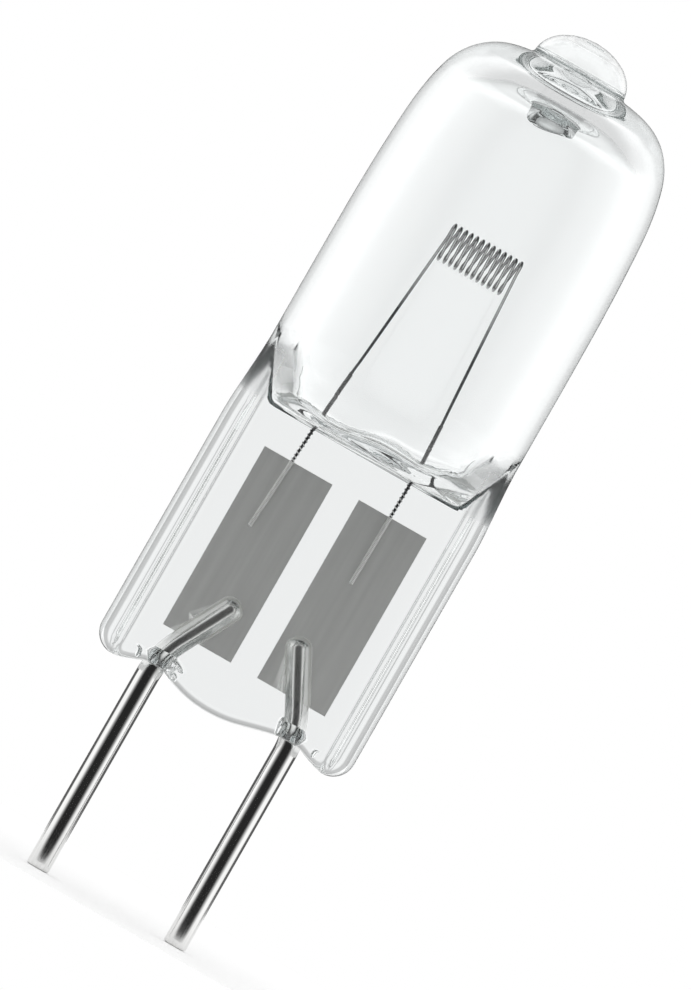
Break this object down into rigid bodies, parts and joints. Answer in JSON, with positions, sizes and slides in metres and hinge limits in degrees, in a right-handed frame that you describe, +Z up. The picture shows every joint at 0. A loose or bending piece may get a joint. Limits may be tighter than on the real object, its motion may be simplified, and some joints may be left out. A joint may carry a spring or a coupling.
{
  "type": "halogen capsule bulb",
  "caption": "Clear quartz halogen capsule bulb: domed bulb with an exhaust tip, coiled filament, sealing foils in a flat pinch seal, and bare contact pins.",
  "frame": {"origin": "midway between the free ends of the contact pins, on the bulb's axis", "axes": "+Z up the bulb's axis from the pin ends to the exhaust tip, +X from the left pin to the right one, -Y out of the face of the seal that the picture shows"},
  "size_m": [0.0116, 0.0112, 0.04],
  "materials": {
    "clear_quartz": "clear polished fused quartz",
    "tungsten_wire": "drawn tungsten, semi-bright",
    "winding_wire": "fine wound wire, semi-bright",
    "sealing_foil": "matt grey molybdenum foil",
    "bright_pin": "bright drawn molybdenum wire"
  },
  "bodies": {
    "root": {"quartz_envelope": "clear_quartz", "filament": "tungsten_wire", "leg_sleeve_left": "winding_wire", "leg_sleeve_right": "winding_wire", "foil_left": "sealing_foil", "foil_right": "sealing_foil", "pin_left": "bright_pin", "pin_right": "bright_pin"}
  },
  "joints": []
}
